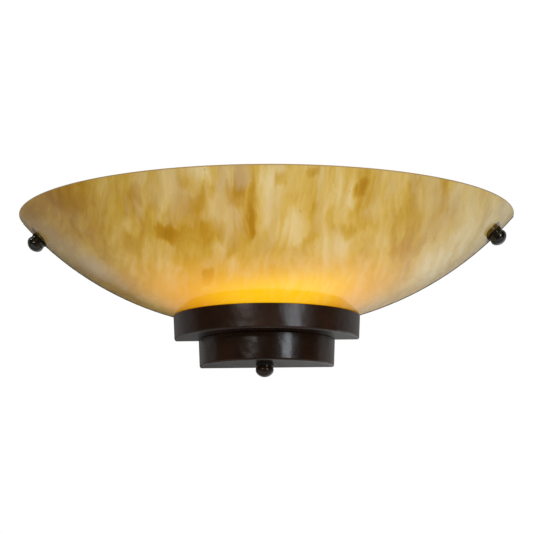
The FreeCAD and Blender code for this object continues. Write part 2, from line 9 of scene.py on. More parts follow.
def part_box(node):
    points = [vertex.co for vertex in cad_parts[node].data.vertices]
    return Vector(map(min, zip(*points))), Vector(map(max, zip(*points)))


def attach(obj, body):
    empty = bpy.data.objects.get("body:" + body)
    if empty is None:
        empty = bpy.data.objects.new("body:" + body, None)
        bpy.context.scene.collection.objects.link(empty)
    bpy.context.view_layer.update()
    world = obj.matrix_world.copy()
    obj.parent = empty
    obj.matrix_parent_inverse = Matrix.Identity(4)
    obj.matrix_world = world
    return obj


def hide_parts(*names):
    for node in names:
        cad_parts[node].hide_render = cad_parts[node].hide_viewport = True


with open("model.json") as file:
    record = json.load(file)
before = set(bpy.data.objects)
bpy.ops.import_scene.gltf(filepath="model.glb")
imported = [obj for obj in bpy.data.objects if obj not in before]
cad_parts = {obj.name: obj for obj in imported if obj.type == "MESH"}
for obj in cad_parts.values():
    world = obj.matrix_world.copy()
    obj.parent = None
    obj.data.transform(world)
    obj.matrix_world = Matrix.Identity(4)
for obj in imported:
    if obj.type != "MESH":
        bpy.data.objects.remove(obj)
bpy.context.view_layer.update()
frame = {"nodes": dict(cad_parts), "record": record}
print("frame loaded:", len(frame["nodes"]), "nodes")

# camera at the photograph's angle: a little to the right of the light and below it, looking up
camera = {
    "place": (0.1193, -1.9002, -0.3298),
    "yaw": -0.06277, "pitch": 0.17441, "roll": 0.0028,
    "sensor": 36.0, "lens": 127.06, "clip": (0.01, 100.0),
}


def addCamera():
    data = bpy.data.cameras.new("camera")
    data.sensor_width = camera["sensor"]
    data.sensor_fit = "HORIZONTAL"
    data.lens = camera["lens"]
    data.clip_start, data.clip_end = camera["clip"]
    made = bpy.data.objects.new("camera", data)
    turn = Matrix.Rotation(-camera["yaw"], 4, "Z") @ Matrix.Rotation(math.pi / 2 + camera["pitch"], 4, "X")
    made.matrix_world = Matrix.Translation(camera["place"]) @ turn @ Matrix.Rotation(-camera["roll"], 4, "Z")
    bpy.context.scene.collection.objects.link(made)
    bpy.context.scene.camera = made


class Wire:
    # a node's output that takes part in arithmetic

    def __init__(self, graph, socket):
        self.graph, self.socket = graph, socket

    def math(self, operation, *values):
        return self.graph.node("Math", {"operation": operation}, dict(enumerate(values)))

    def __add__(self, other):
        return self.math("ADD", self, other)

    def __radd__(self, other):
        return self.math("ADD", other, self)

    def __sub__(self, other):
        return self.math("SUBTRACT", self, other)

    def __rsub__(self, other):
        return self.math("SUBTRACT", other, self)

    def __mul__(self, other):
        return self.math("MULTIPLY", self, other)

    def __rmul__(self, other):
        return self.math("MULTIPLY", other, self)

    def __truediv__(self, other):
        return self.math("DIVIDE", self, other)

    def __rtruediv__(self, other):
        return self.math("DIVIDE", other, self)

    def __pow__(self, other):
        return self.math("POWER", self, other)


class Graph:
    # the node tree of a material or of the world

    def __init__(self, owner, output):
        owner.use_nodes = True
        self.tree = owner.node_tree
        self.tree.nodes.clear()
        self.output = self.tree.nodes.new("ShaderNodeOutput" + output)

    def node(self, kind, settings=None, values=None, output=0):
        made = self.tree.nodes.new("ShaderNode" + kind)
        for name, value in (settings or {}).items():
            if name == "stops":
                self.setStops(made.color_ramp, value)
            else:
                setattr(made, name, value)
        for name, value in (values or {}).items():
            if isinstance(value, Wire):
                self.tree.links.new(value.socket, made.inputs[name])
            else:
                made.inputs[name].default_value = value
        return Wire(self, made.outputs[output])

    def setStops(self, ramp, stops):
        while len(ramp.elements) < len(stops):
            ramp.elements.new(1.0)
        for element, (place, colour) in zip(ramp.elements, stops):
            element.position, element.color = place, (*colour, 1.0)

    def place(self):
        return self.node("TexCoord", output="Object")

    def parts(self, vector):
        return [self.node("SeparateXYZ", values={0: vector}, output=i) for i in range(3)]

    def joined(self, x, y, z):
        return self.node("CombineXYZ", values={0: x, 1: y, 2: z})

    def scaled(self, vector, scale):
        return self.node("VectorMath", {"operation": "MULTIPLY"}, {0: vector, 1: scale})

    def added(self, first, second):
        return self.node("VectorMath", {"operation": "ADD"}, {0: first, 1: second})

    def noise(self, vector, scale, detail=4.0, roughness=0.5, distortion=0.0):
        values = {
            "Vector": vector, "Scale": scale, "Detail": detail,
            "Roughness": roughness, "Distortion": distortion,
        }
        return self.node("TexNoise", values=values)

    def eased(self, value, low, high, start=0.0, end=1.0):
        # smoothly from start, where the value is low, to end, where it is high: the looks call these a span
        values = {"Value": value, "From Min": low, "From Max": high, "To Min": start, "To Max": end}
        return self.node("MapRange", {"interpolation_type": "SMOOTHSTEP"}, values)

    def mixed(self, amount, first, second):
        values = {0: amount, 6: rgba(first), 7: rgba(second)}
        return self.node("Mix", {"data_type": "RGBA"}, values, 2)

    def bump(self, height, strength, distance, normal=None):
        values = {"Height": height, "Strength": strength, "Distance": distance}
        if normal:
            values["Normal"] = normal
        return self.node("Bump", values=values)

    def surface(self, values):
        shader = self.node("BsdfPrincipled", values=values)
        self.tree.links.new(shader.socket, self.output.inputs[0])


def rgba(colour):
    return colour if isinstance(colour, Wire) else (*colour, 1.0)


def newMaterial(name):
    material = bpy.data.materials.new(name)
    return material, Graph(material, "Material")


# glass: a cloudy opal sheet with amber drawn through it
glassLook = {
    "tones": [  # from burnt amber to ivory
        (0.00, (0.315, 0.138, 0.0)), (0.11, (0.375, 0.178, 0.0)), (0.25, (0.455, 0.238, 0.010)),
        (0.38, (0.565, 0.352, 0.042)), (0.50, (0.675, 0.465, 0.108)), (0.68, (0.78, 0.625, 0.28)),
        (0.86, (0.84, 0.71, 0.38)),
    ],
    # what the tone is made of
    "middle": 0.435, "shares": {"drift": 0.34, "smears": 0.44, "streaks": 0.34, "threads": 0.34},
    # the glass grows darker to the left and paler to the right: partly the sheet's own tint, partly painted shade on
    # the side away from the key lamp and painted light on the side towards it
    "poolDepth": 0.24, "rightTintAndLight": 0.14, "leftTintAndShadeSpan": (-0.08, -0.17), "leftTintAndShadeDepth": 0.10,
    # how the streaks lean, fan out and waver
    "lean": 0.17, "fan": -0.4, "uprightAt": 0.16, "swayShift": 0.030, "frayShift": 0.045,
    "poolSway": 0.012, "poolFray": (0.014, 0.030), "poolEdge": 2.0,
    # what lies over the tones
    "bareSpan": (0.1, 0.9, 1.0, 0.0), "leftCover": 0.7,
    "veil": (0.79, 0.67, 0.39), "veilSpan": (0.50, 0.68, 0.0, 0.45), "veilEdge": (0.10, 0.24, 0.0, 0.048),
    "smoke": (0.60, 0.45, 0.25), "smokeSpan": (0.54, 0.70, 0.0, 0.30), "smokeLeftward": 0.15,
    "seed": (0.34, 0.21, 0.05), "seedSpan": (0.83, 0.86, 0.0, 0.4),
    "rim": (0.36, 0.24, 0.09), "rimHeight": (0.0536, 0.0542), "rimOut": (0.2522, 0.2526),
    # surface, and the glass lit through near the lamp
    "roughness": 0.10, "groundRim": 0.40, "density": 1.5, "ripple": (38.0, 2.0), "rippleDepth": (0.12, 0.002),
    "lit": (0.69, 0.405, 0.008), "litShare": 0.84, "litThreads": 1.2, "litStreaks": 1.6,
}
# clouds in the glass: how fine across and out from the wall, seed, detail, roughness, distortion
glassClouds = {
    "sway": (15.0, 13.0, 0.0, 3.0, 0.5, 0.0),
    "fray": (75.0, 24.0, 3.0, 4.0, 0.6, 0.0),
    "drift": (9.0, 6.0, 7.0, 2.0, 0.5, 0.0),
    "smears": (43.0, 19.0, 11.0, 5.0, 0.6, 0.2),
    "streaks": (80.0, 8.0, 19.0, 3.0, 0.5, 0.0),
    "threads": (160.0, 30.0, 15.0, 3.0, 0.55, 0.0),
    "veils": (34.0, 11.0, 21.0, 5.0, 0.6, 0.2),
    "smoke": (34.0, 13.0, 31.0, 4.0, 0.6, 0.2),
    "seeds": (260.0, 200.0, 41.0, 0.0, 0.5, 0.0),
}
# painted shade: dark bands in the glass over the ends of the two arms, where they hold back the lamp's light from
# behind it: their middle, how they lie, and how they fade
armShadeBand = {
    "colour": (0.12, 0.060, 0.001), "place": (0.2312, 0.0220, 0.0325), "lie": (0.727, 0.684),
    "width": 0.0094, "lengths": {-1: 0.031, 1: 0.027}, "span": (1.35, 0.75, 0.0, 0.93),
}
# light of the lamp in the glass: place across, place out from the wall, half width, half length, colour
lampGlows = {
    "wash": ((0.016, 0.130, 0.155, 0.125), (0.19, 0.085, 0.0)),
    "halo": ((0.004, 0.085, 0.107, 0.066), (0.34, 0.10, 0.0)),
    "core": ((0.018, 0.105, 0.062, 0.034), (0.17, 0.18, 0.004)),
}
glowSpan = (1.55, 0.4)
# pools of darker or paler glass: place across, place out from the wall, half width, half length, strength
darkPools = [
    (-0.081, 0.180, 0.0110, 0.0085, 1.0),
    (-0.073, 0.172, 0.024, 0.022, 0.25),
    (-0.001, 0.216, 0.0036, 0.028, 0.6),
    (-0.001, 0.206, 0.0040, 0.012, 0.7),
    (-0.049, 0.138, 0.0045, 0.014, 1.3),
    (-0.050, 0.186, 0.013, 0.016, 0.35),
    (-0.022, 0.243, 0.016, 0.012, 0.2),
    (-0.060, 0.207, 0.018, 0.030, 0.50),
    (-0.105, 0.165, 0.020, 0.040, 0.25),
    (0.100, 0.225, 0.020, 0.030, 0.30),
    (-0.107, 0.213, 0.006, 0.012, 0.5),
    (-0.172, 0.176, 0.014, 0.030, 0.5),
    (-0.215, 0.120, 0.025, 0.050, 0.5),
    (0.1005, 0.2156, 0.0065, 0.0070, 0.9),
    (0.137, 0.150, 0.0135, 0.031, 0.45),
    (0.143, 0.120, 0.0070, 0.013, 0.4),
    (0.122, 0.185, 0.045, 0.050, 0.20),
    (0.160, 0.165, 0.022, 0.045, 0.2),
    (0.089, 0.179, 0.006, 0.008, 0.5),
    (0.057, 0.242, 0.0065, 0.0040, 0.6),
    (0.027, 0.241, 0.005, 0.007, 0.6),
    (0.039, 0.164, 0.0110, 0.0115, 0.35),
    (0.060, 0.200, 0.008, 0.016, 0.4),
    (-0.036, 0.195, 0.012, 0.014, 0.6),
    (-0.012, 0.232, 0.008, 0.014, 0.6),
    (0.172, 0.137, 0.016, 0.025, 0.4),
    (-0.088, 0.222, 0.010, 0.018, 0.4),
    (-0.185, 0.165, 0.016, 0.020, 0.4),
    (-0.059, 0.240, 0.008, 0.010, 0.5),
    (-0.009, 0.241, 0.006, 0.010, 0.5),
    (0.196, 0.137, 0.010, 0.022, 0.3),
    (-0.025, 0.222, 0.007, 0.012, 0.3),
]
palePools = [
    (0.0133, 0.2236, 0.0065, 0.028, 0.9),
    (0.040, 0.197, 0.012, 0.015, 0.75),
    (0.028, 0.215, 0.012, 0.030, 0.4),
    (0.086, 0.215, 0.009, 0.022, 0.8),
    (-0.090, 0.152, 0.016, 0.020, 0.5),
    (0.012, 0.150, 0.030, 0.020, 0.4),
    (-0.050, 0.246, 0.012, 0.016, 0.6),
    (0.066, 0.158, 0.020, 0.022, 0.7),
    (0.081, 0.232, 0.005, 0.020, 0.6),
    (0.117, 0.133, 0.011, 0.022, 0.4),
    (0.160, 0.087, 0.012, 0.021, 0.4),
    (0.168, 0.055, 0.026, 0.030, 0.8),
    (0.200, 0.110, 0.020, 0.035, 0.25),
    (0.055, 0.125, 0.030, 0.020, 0.5),
    (-0.105, 0.115, 0.025, 0.030, 0.3),
    (-0.150, 0.105, 0.030, 0.040, 0.3),
    (-0.025, 0.149, 0.007, 0.017, 0.6),
    (-0.087, 0.132, 0.010, 0.017, 0.2),
    (-0.117, 0.179, 0.008, 0.011, 0.6),
    (0.096, 0.160, 0.020, 0.016, 0.45),
    (0.130, 0.155, 0.016, 0.018, 0.3),
    (-0.036, 0.247, 0.008, 0.008, 0.6),
    (0.093, 0.214, 0.007, 0.010, 0.5),
    (0.046, 0.213, 0.010, 0.010, 0.3),
]
smokePools = [
    (-0.006, 0.246, 0.0075, 0.010, 0.6),
    (-0.160, 0.072, 0.022, 0.026, 0.5),
    (-0.195, 0.065, 0.032, 0.040, 0.4),
]


def poolMask(graph, across, out, lean, pools):
    mask = 0.0
    for x, y, width, length, strength in pools:
        forwards = out + y
        sideways = (forwards * lean + across - x) / width
        along = forwards / length
        away = sideways * sideways + along * along
        mask = graph.eased(away, glassLook["poolEdge"], 0.0, 0.0, strength) + mask
    return mask


def lampGlow(graph, x, y, spot):
    across, out, halfWidth, halfLength = spot
    sideways = (x - across) / halfWidth
    along = (y + out) / halfLength
    away = (sideways * sideways + along * along) ** 0.5
    return graph.eased(away, *glowSpan)


def glassCloud(graph, name, across, along):
    fineAcross, fineAlong, seed, detail, roughness, distortion = glassClouds[name]
    place = graph.joined(across * fineAcross, along * fineAlong, seed)
    return graph.noise(place, 1.0, detail, roughness, distortion)


# paints darker amber into the glass colour where the arm ends behind it hold back the lamp's light
def paintArmShade(graph, x, y, z, colour):
    across, out, height = armShadeBand["place"]
    flat, steep = armShadeBand["lie"]
    for side, length in armShadeBand["lengths"].items():
        up = (z - height) * steep
        sideways = ((x * side - across) * flat + up) / armShadeBand["width"]
        forwards = (y + out) / length
        away = (sideways * sideways) ** 3.0 + (forwards * forwards) ** 2.0
        colour = graph.mixed(graph.eased(away, *armShadeBand["span"]), colour, armShadeBand["colour"])
    return colour


def artGlass():
    look = glassLook
    material, graph = newMaterial("artGlass")
    x, y, z = graph.parts(graph.place())
    around = (x * x + y * y) ** 0.5
    # the sheet was drawn while hot, so its pattern is pulled out along y and frayed sideways
    sway = glassCloud(graph, "sway", x, y) - 0.5
    fray = glassCloud(graph, "fray", x, y) - 0.5
    lean = x * look["fan"] + look["lean"]
    across = x + sway * look["swayShift"] + (y + look["uprightAt"]) * lean
    along = y + fray * look["frayShift"]
    drawn = {name: glassCloud(graph, name, across, along) for name in look["shares"]}
    poolX = x + fray * look["poolFray"][0] + sway * look["poolSway"]
    poolY = y + fray * look["poolFray"][1]
    dark = poolMask(graph, poolX, poolY, lean, darkPools)
    pale = poolMask(graph, poolX, poolY, lean, palePools)
    # painted shade to the left and painted light to the right, partly the sheet's own tint
    leftTintAndShade = graph.eased(x, *look["leftTintAndShadeSpan"])
    tone = sum((drawn[name] - 0.5) * share for name, share in look["shares"].items())
    tone = tone + (pale - dark) * look["poolDepth"] + x * look["rightTintAndLight"]
    tone = tone - leftTintAndShade * look["leftTintAndShadeDepth"] + look["middle"]
    colour = graph.node("ValToRGB", {"stops": look["tones"]}, {0: tone})
    # pale veils and smoky clouds lie over the tones, but not over the darkest pools
    bare = graph.eased(dark, *look["bareSpan"]) * (1.0 - leftTintAndShade * look["leftCover"])
    veils = glassCloud(graph, "veils", across, along) + graph.eased(around, *look["veilEdge"])
    colour = graph.mixed(graph.eased(veils, *look["veilSpan"]) * bare, colour, look["veil"])
    smoke = glassCloud(graph, "smoke", across, along) - x * look["smokeLeftward"]
    smoke = graph.eased(smoke, *look["smokeSpan"]) * bare + poolMask(graph, poolX, poolY, lean, smokePools)
    colour = graph.mixed(smoke, colour, look["smoke"])
    seeds = glassCloud(graph, "seeds", x, y)
    colour = graph.mixed(graph.eased(seeds, *look["seedSpan"]), colour, look["seed"])
    # the rim is ground: satin on top, and a dark line at its outer edge
    ground = graph.eased(z, *look["rimHeight"])
    rim = ground * graph.eased(around, *look["rimOut"])
    # the painted shade of the arm ends goes over the tones and the rim
    colour = paintArmShade(graph, x, y, z, graph.mixed(rim, colour, look["rim"]))
    # the lamp behind it
    glows = {name: lampGlow(graph, x, y, spot) for name, (spot, tint) in lampGlows.items()}
    grain = (drawn["threads"] - 0.5) * look["litThreads"] + (drawn["streaks"] - 0.5) * look["litStreaks"]
    colour = graph.mixed(glows["halo"] * (look["litShare"] - grain), colour, look["lit"])
    light = (0.0, 0.0, 0.0)
    for name, (spot, tint) in lampGlows.items():
        level = glows[name]
        light = graph.added(light, graph.scaled(tint, graph.joined(level, level, level)))
    ripple = graph.noise(graph.place(), *look["ripple"])
    graph.surface({
        "Base Color": colour, "Roughness": ground * look["groundRim"] + look["roughness"],
        "IOR": look["density"], "Emission Color": light, "Emission Strength": 1.0,
        "Normal": graph.bump(ripple, *look["rippleDepth"]),
    })
    return material


# dark bronze enamel: glossy, with a faint orange peel, long waves from the spray and warm wear
enamelLook = {"dark": (0.0150, 0.0050, 0.0010), "light": (0.028, 0.0098, 0.0026), "fleck": (0.065, 0.034, 0.018)}
knobLook = {"dark": (0.0070, 0.0050, 0.0022), "light": (0.0130, 0.0090, 0.0045), "fleck": (0.045, 0.034, 0.02)}
enamelCoat = {
    "clouds": (22.0, 5.0, 0.6), "cloudSpan": (0.35, 0.7), "cloudRoughness": 0.12,
    "specks": (900.0, 2.0), "speckSpan": (0.62, 0.75, 0.0, 0.25),
    "peel": (420.0, 2.0), "peelDepth": (0.08, 0.0006), "waves": (34.0, 2.0), "waveHeight": 0.0016,
}


def enamel(name, look, gloss, density=1.5, sway=0.35):
    coat = enamelCoat
    material, graph = newMaterial(name)
    place = graph.place()
    clouds = graph.noise(place, *coat["clouds"])
    specks = graph.noise(place, *coat["specks"])
    colour = graph.mixed(graph.eased(clouds, *coat["cloudSpan"]), look["dark"], look["light"])
    colour = graph.mixed(graph.eased(specks, *coat["speckSpan"]), colour, look["fleck"])
    waved = graph.bump(graph.noise(place, *coat["waves"]), sway, coat["waveHeight"])
    graph.surface({
        "Base Color": colour, "Metallic": 0.0, "Roughness": clouds * coat["cloudRoughness"] + gloss,
        "IOR": density, "Normal": graph.bump(graph.noise(place, *coat["peel"]), *coat["peelDepth"], waved),
    })
    return material


# bare or plated metal with fine drawing marks and a little tarnish
metalGrain = {
    "stretch": (60.0, 60.0, 60.0), "marks": (8.0, 4.0, 0.7), "markRoughness": 0.22, "markDepth": (0.06, 0.0004),
    "tarnish": (55.0, 5.0, 0.6), "tarnishSpan": (0.4, 0.7), "tarnishRoughness": 0.1,
}


def plated(name, light, dark, roughness):
    material, graph = newMaterial(name)
    place = graph.place()
    marks = graph.noise(graph.scaled(place, metalGrain["stretch"]), *metalGrain["marks"])
    tarnish = graph.noise(place, *metalGrain["tarnish"])
    rough = marks * metalGrain["markRoughness"] + roughness + tarnish * metalGrain["tarnishRoughness"]
    graph.surface({
        "Base Color": graph.mixed(graph.eased(tarnish, *metalGrain["tarnishSpan"]), light, dark),
        "Metallic": 1.0, "Roughness": rough, "Normal": graph.bump(marks, *metalGrain["markDepth"]),
    })
    return material


# rubber, plastic, porcelain: a dielectric with a grain and slight changes of tone
softGrain = {
    "clouds": (45.0, 4.0, 0.55), "cloudSpan": (0.35, 0.7),
    "pitDetail": 3.0, "pitRoughness": 0.1, "pitHeight": 0.0004,
}


def soft(name, light, dark, roughness, grain=500.0, depth=0.15):
    material, graph = newMaterial(name)
    place = graph.place()
    clouds = graph.noise(place, *softGrain["clouds"])
    pits = graph.noise(place, grain, softGrain["pitDetail"])
    graph.surface({
        "Base Color": graph.mixed(graph.eased(clouds, *softGrain["cloudSpan"]), light, dark),
        "Roughness": pits * softGrain["pitRoughness"] + roughness,
        "Normal": graph.bump(pits, depth, softGrain["pitHeight"]),
    })
    return material


# bulb: frosted white, lit from inside
frostLook = {
    "coat": (300.0, 3.0), "coatRoughness": 0.15, "roughness": 0.22, "mist": (30.0, 3.0),
    "tones": ((0.86, 0.84, 0.80), (0.92, 0.91, 0.88)), "light": ((0.42, 0.27, 0.11), (0.50, 0.33, 0.15)),
}


def frosted():
    material, graph = newMaterial("frosted")
    place = graph.place()
    coat = graph.noise(place, *frostLook["coat"])
    mist = graph.noise(place, *frostLook["mist"])
    graph.surface({
        "Base Color": graph.mixed(mist, *frostLook["tones"]),
        "Roughness": coat * frostLook["coatRoughness"] + frostLook["roughness"],
        "Emission Color": graph.mixed(mist, *frostLook["light"]), "Emission Strength": 1.0,
    })
    return material


# the record's finishes
finishes = {
    "bronze_paint": enamel("bronzeEnamel", enamelLook, 0.18, sway=0.8),
    "bronze_paint_flat": enamel("satinEnamel", enamelLook, 0.34),
    "art_glass": artGlass(),
    "zinc_steel": plated("zincSteel", (0.58, 0.58, 0.56), (0.42, 0.42, 0.40), 0.22),
    "brass": plated("brass", (0.72, 0.50, 0.20), (0.48, 0.32, 0.12), 0.18),
    "aluminium": plated("aluminium", (0.76, 0.76, 0.75), (0.60, 0.60, 0.59), 0.24),
    "rubber": soft("rubber", (0.010, 0.008, 0.007), (0.018, 0.015, 0.013), 0.62),
    "phenolic": soft("phenolic", (0.02, 0.014, 0.011), (0.03, 0.022, 0.018), 0.3),
    "porcelain": soft("porcelain", (0.78, 0.77, 0.73), (0.70, 0.69, 0.65), 0.16, 120.0, 0.05),
    "green_screw": soft("greenScrew", (0.02, 0.18, 0.05), (0.015, 0.12, 0.035), 0.3),
    "black_sleeve": soft("blackSleeve", (0.02, 0.02, 0.02), (0.03, 0.03, 0.03), 0.45),
    "white_sleeve": soft("whiteSleeve", (0.74, 0.73, 0.70), (0.66, 0.65, 0.62), 0.45),
    "connector_shell": soft("connectorShell", (0.62, 0.16, 0.02), (0.50, 0.12, 0.015), 0.35),
    "frosted_glass": frosted(),
}
# nodes whose own coat differs a little from the rest of their slot
knobCoat = enamel("knobEnamel", knobLook, 0.05, 1.7)
washerCoat = soft("knobWasher", (0.004, 0.002, 0.001), (0.008, 0.004, 0.002), 0.8)
ownCoats = {
    "left_knob": knobCoat, "right_knob": knobCoat,
    "left_knob_washer": washerCoat, "right_knob_washer": washerCoat,
    "finial": enamel("finialEnamel", enamelLook, 0.20),
    "upper_tier": enamel("tierEnamel", enamelLook, 0.24, sway=0.8),
}
print("materials ready:", len(bpy.data.materials))


def paintNodes():
    for part in frame["record"]["subparts"]:
        mesh = frame["nodes"][part["node"]].data
        mesh.materials.clear()
        mesh.materials.append(ownCoats.get(part["node"], finishes[part["material_slot"]]))


def standOn(shape, base, direction):
    # a piece is built upright on the origin, and this stands it where the light has it
    turn = Vector(direction).to_track_quat("Z", "Y").to_matrix().to_4x4()
    bmesh.ops.transform(shape, matrix=Matrix.Translation(base) @ turn, verts=shape.verts)


def addProfile(shape, points):
    verts = [shape.verts.new((out, 0, height)) for out, height in points]
    return verts + [shape.edges.new(pair) for pair in zip(verts, verts[1:])]


# turned and threaded shapes: steps round, weld distance, turns past each end, weld as a part of the pitch, crease
making = {"turnedSteps": 56, "weld": 1e-6, "leadIn": 1.4, "extraTurns": 3, "threadWeld": 60, "crease": 35}


def addTurned(shape, points):
    before = set(shape.verts)
    bmesh.ops.spin(
        shape, geom=addProfile(shape, points), cent=(0, 0, 0), axis=(0, 0, 1), angle=2 * math.pi,
        steps=making["turnedSteps"], use_merge=True, use_duplicate=False)
    made = [vert for vert in shape.verts if vert not in before]
    bmesh.ops.remove_doubles(shape, verts=made, dist=making["weld"])


def addThread(shape, look, low, high):
    # one ridge is swept up the helix, and its ends are cut off square
    before = set(shape.verts)
    pitch, points, ridge = look["pitch"], look["ridgePoints"], []
    for i in range(points + 1):
        swell = 0.5 - 0.5 * math.cos(2 * math.pi * i / points)
        out = look["root"] + (look["crest"] - look["root"]) * swell
        ridge.append((out, low + pitch * (i / points - making["leadIn"])))
    turns, steps = math.ceil((high - low) / pitch) + making["extraTurns"], look["steps"]
    bmesh.ops.spin(
        shape, geom=addProfile(shape, ridge), cent=(0, 0, 0), axis=(0, 0, 1), dvec=(0, 0, pitch / steps),
        angle=2 * math.pi * turns, steps=steps * turns, use_merge=False, use_duplicate=False)
    made = [vert for vert in shape.verts if vert not in before]
    bmesh.ops.remove_doubles(shape, verts=made, dist=pitch / making["threadWeld"])
    for height, way in ((low, -1), (high, 1)):
        made = [vert for vert in shape.verts if vert not in before]
        edges = [edge for edge in shape.edges if edge.verts[0] in made]
        faces = [face for face in shape.faces if face.verts[0] in made]
        bmesh.ops.bisect_plane(
            shape, geom=made + edges + faces, dist=1e-7, plane_co=(0, 0, height), plane_no=(0, 0, way),
            clear_outer=True)
    bmesh.ops.holes_fill(shape, edges=[edge for edge in shape.edges if edge.is_boundary], sides=0)


def finishPiece(shape, name, slot, body, node):
    bmesh.ops.recalc_face_normals(shape, faces=shape.faces)
    for face in shape.faces:
        face.smooth = True
    for edge in shape.edges:
        edge.smooth = edge.calc_face_angle(0) < math.radians(making["crease"])
    mesh = bpy.data.meshes.new(name)
    shape.to_mesh(mesh)
    shape.free()
    mesh.materials.append(finishes[slot])
    piece = bpy.data.objects.new(name, mesh)
    bpy.context.scene.collection.objects.link(piece)
    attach(piece, body)
    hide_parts(node)


# rod through bowl and tiers, with its rolled thread
rodLook = {"crest": 0.003175, "root": 0.00268, "pitch": 0.00094, "ridgePoints": 2, "steps": 14}


def threadedRod():
    low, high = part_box("threaded_rod")
    shape = bmesh.new()
    addThread(shape, rodLook, 0.0, high[2] - low[2])
    standOn(shape, ((low[0] + high[0]) / 2, (low[1] + high[1]) / 2, low[2]), (0, 0, 1))
    finishPiece(shape, "threadedRod", "zinc_steel", "root", "threaded_rod")


# studs of the side knobs, on a line square to the glass from the centre of its ball
studLook = {
    "crest": 0.00208, "root": 0.00172, "pitch": 0.000794, "ridgePoints": 2, "steps": 14,
    "ballHeight": 0.279183, "square": (0.68391165, -0.06493824, -0.72666903), "start": 0.326199, "end": 0.348484,
}


def sideStuds():
    for side, name in ((-1, "left"), (1, "right")):
        shape = bmesh.new()
        addThread(shape, studLook, studLook["start"], studLook["end"])
        across, out, up = studLook["square"]
        standOn(shape, (0, 0, studLook["ballHeight"]), (side * across, out, up))
        finishPiece(shape, name + "ThreadedStud", "zinc_steel", "root", name + "_stud")


# screw base of the bulb: black insulator, rolled thread and collar
baseLook = {
    "crest": 0.0131, "root": 0.01235, "pitch": 0.003629, "ridgePoints": 8, "steps": 40,
    "threadStart": 0.0052, "threadEnd": 0.0196,
    "insulator": [
        (0, 0), (0.0060, 0), (0.0066, 0.0003), (0.0096, 0.0024), (0.0118, 0.0041), (0.0122, 0.0056), (0, 0.0056)],
    "collar": [
        (0, 0.0192), (0.0124, 0.0192), (0.0129, 0.0197), (0.0131, 0.0203), (0.0131, 0.0236), (0.0129, 0.0240),
        (0, 0.0240)],
}


def bulbBase():
    low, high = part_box("bulb_base")
    seat = ((low[0] + high[0]) / 2, high[1], (low[2] + high[2]) / 2)
    shape = bmesh.new()
    addThread(shape, baseLook, baseLook["threadStart"], baseLook["threadEnd"])
    addTurned(shape, baseLook["collar"])
    standOn(shape, seat, (0, -1, 0))
    finishPiece(shape, "bulbScrewBase", "aluminium", "bulb_body", "bulb_base")
    shape = bmesh.new()
    addTurned(shape, baseLook["insulator"])
    standOn(shape, seat, (0, -1, 0))
    finishPiece(shape, "bulbInsulator", "phenolic", "bulb_body", "bulb_base")


# twist-on connectors: ribbed cones with a smooth skirt and a hollow mouth
connectorLook = {
    "mouth": 0.0046, "tip": 0.0032, "length": 0.020, "skirt": 0.0055,
    "ribs": 16, "ribHeight": 0.00035, "ribInset": 0.00012,
    "wall": 0.0013, "hollow": 0.013, "corner": (0.00165, -0.0062, 0.012), "run": 0.013, "angle": 25,
}


def addConnector(shape, side):
    look = connectorLook
    part = bmesh.new()
    bmesh.ops.create_cone(
        part, cap_ends=True, segments=2 * look["ribs"], depth=look["length"],
        radius1=look["mouth"] - look["ribHeight"], radius2=look["tip"] - look["ribHeight"])
    bmesh.ops.translate(part, verts=part.verts, vec=(0, 0, look["length"] / 2))
    geometry = part.verts[:] + part.edges[:] + part.faces[:]
    bmesh.ops.bisect_plane(part, geom=geometry, plane_co=(0, 0, look["skirt"]), plane_no=(0, 0, 1))
    # every second face above the skirt stands out as a rib
    around = [face for face in part.faces if abs(face.normal.z) < 0.5]
    around.sort(key=lambda face: math.atan2(face.calc_center_median().y, face.calc_center_median().x))
    ribs = [face for face in around if face.calc_center_median().z > look["skirt"]][::2]
    skirt = [face for face in around if face.calc_center_median().z < look["skirt"]]
    bmesh.ops.inset_individual(part, faces=ribs, thickness=look["ribInset"], depth=look["ribHeight"])
    bmesh.ops.inset_region(part, faces=skirt, thickness=look["ribInset"], depth=look["ribHeight"])
    mouth = [face for face in part.faces if face.normal.z < -0.9 and len(face.verts) > 8]
    bmesh.ops.inset_region(part, faces=mouth, thickness=look["wall"])
    hole = bmesh.ops.extrude_discrete_faces(part, faces=mouth)["faces"]
    bmesh.ops.translate(part, verts=hole[0].verts, vec=(0, 0, look["hollow"]))
    angle = math.radians(look["angle"])
    way = Vector((side * math.cos(angle), 0, math.sin(angle)))
    corner = Vector(look["corner"])
    corner.x *= side
    standOn(part, corner + way * look["run"], way)
    mesh = bpy.data.meshes.new("connector")
    part.to_mesh(mesh)
    part.free()
    shape.from_mesh(mesh)
    bpy.data.meshes.remove(mesh)


def wireConnectors():
    shape = bmesh.new()
    for side in (-1, 1):
        addConnector(shape, side)
    finishPiece(shape, "ribbedConnectors", "connector_shell", "root", "wire_connectors")


# studio: what polished surfaces mirror is dark above and at the camera's side, and pale behind the light
studio = {
    "ambient": 0.52, "dark": 0.03,
    "floorSpan": (-0.35, 0.5, 0.38, 1.0), "floorReach": (0.0, 0.7),
    "belowSpan": (-1.0, -0.2, 0.0, 0.45), "belowReach": (0.35, -0.25),
    "wallSpan": (-0.5, 0.5, 0.26, 0.33), "wallTilt": 0.06, "wallReach": (0.04, 0.26),
    "behindSpan": (-0.1, 0.08, 0.25, 0.8), "behindReach": (0.99, 0.82),
    "underSpan": (-0.12, 0.0, 0.8, 1.9), "underReach": (0.05, -0.12), "lowReach": (-0.18, -0.42),
}
floorLook = {
    "height": -0.62, "size": 12.0, "tones": ((0.84, 0.84, 0.84), (0.88, 0.88, 0.88)), "grain": 3.0,
    "roughness": 0.8, "whiteSpan": (0.4, 2.6, 0.6, 1.0),
}
